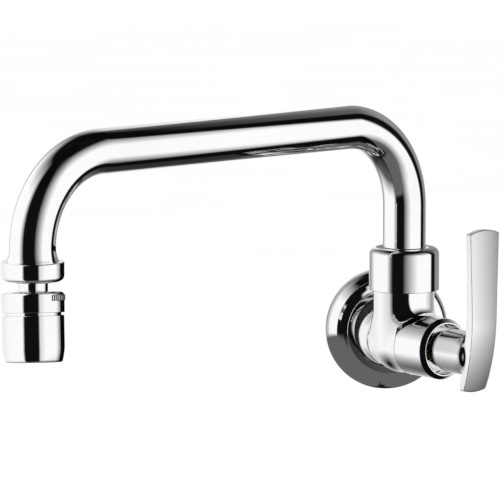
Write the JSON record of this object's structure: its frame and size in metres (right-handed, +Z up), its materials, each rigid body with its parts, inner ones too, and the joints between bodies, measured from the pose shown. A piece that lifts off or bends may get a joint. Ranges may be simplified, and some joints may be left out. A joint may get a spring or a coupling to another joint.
{
  "type": "wall-mounted swivel-spout faucet",
  "caption": "Wall-mounted sink tap with a quarter-turn lever valve, a swivelling bent tube spout and a tilting aerator outlet that switches to spray.",
  "frame": {"origin": "on the inlet's axis, in the plane of the finished wall", "axes": "+Z up, parallel to the axis that the spout swivels about; +Y into the wall along the inlet; +X along the wall to the viewer's right"},
  "size_m": [0.2593, 0.2427, 0.1575],
  "materials": {
    "chrome": "bright polished chrome plate on brass",
    "satin_chrome": "satin chrome plate on a zinc casting",
    "brass": "machined, bare",
    "steel": "stainless, as drawn",
    "rubber": "moulded, matt",
    "foam": "closed-cell foam, matt",
    "fibre": "pressed vulcanised fibre",
    "ceramic": "lapped alumina ceramic",
    "acetal": "moulded, slight sheen"
  },
  "bodies": {
    "valve": {"valve_body": "chrome", "wall_flange": "chrome", "flange_gasket": "foam", "flange_grip_ring": "rubber", "inlet_strainer": "steel", "bonnet_gasket": "fibre", "cartridge_housing": "brass", "seat_seal": "rubber", "fixed_disc": "ceramic", "bonnet_sleeve": "chrome", "spout_nut": "chrome", "slide_ring_lower": "acetal", "slide_ring_upper": "acetal"},
    "lever": {"lever_handle": "satin_chrome", "spline_insert": "acetal", "lever_screw": "steel", "spindle": "brass", "spindle_o_ring_inner": "rubber", "spindle_o_ring_outer": "rubber", "spindle_clip": "steel", "friction_washer": "acetal", "moving_disc": "ceramic"},
    "spout": {"spout_tube": "chrome", "spout_ferrule": "brass", "spout_o_ring_upper": "rubber", "spout_o_ring_lower": "rubber", "split_ring": "steel", "outlet_nut": "chrome", "outlet_washer": "rubber", "ball_stem": "chrome"},
    "tilt_a": {"ball_liner": "acetal"},
    "tilt_b": {"seat_ring": "acetal"},
    "head": {"swivel_head": "chrome", "ball_retainer": "brass", "sleeve_o_ring": "rubber", "aerator_housing": "acetal", "aerator_seal": "rubber", "mesh_upper": "steel", "mesh_lower": "steel"},
    "sleeve": {"mode_sleeve": "chrome", "spray_plate": "acetal"}
  },
  "joints": [
    {"name": "lever_turn", "type": "hinge", "parent": "valve", "child": "lever", "pos_m": [0, -0.0525, 0], "axis": [0.5, -0.866, 0], "range_deg": [0, 90]},
    {"name": "spout_swivel", "type": "hinge", "parent": "valve", "child": "spout", "pos_m": [0, -0.0525, 0.04], "axis": [0, 0, 1], "range_deg": [-43, 149]},
    {"name": "head_tilt_side", "type": "hinge", "parent": "spout", "child": "tilt_a", "pos_m": [-0.20472, -0.20454, 0.0438], "axis": [0, 1, 0], "range_deg": [-8, 8]},
    {"name": "head_tilt_front", "type": "hinge", "parent": "tilt_a", "child": "tilt_b", "pos_m": [-0.20472, -0.20454, 0.0438], "axis": [1, 0, 0], "range_deg": [-3, 17]},
    {"name": "head_spin", "type": "hinge", "parent": "tilt_b", "child": "head", "pos_m": [-0.20472, -0.20454, 0.0438], "axis": [0, 0.1219, 0.9925], "continuous": true},
    {"name": "sleeve_slide", "type": "slide", "parent": "head", "child": "sleeve", "axis": [0, -0.1219, -0.9925], "range_m": [0, 0.004]}
  ]
}
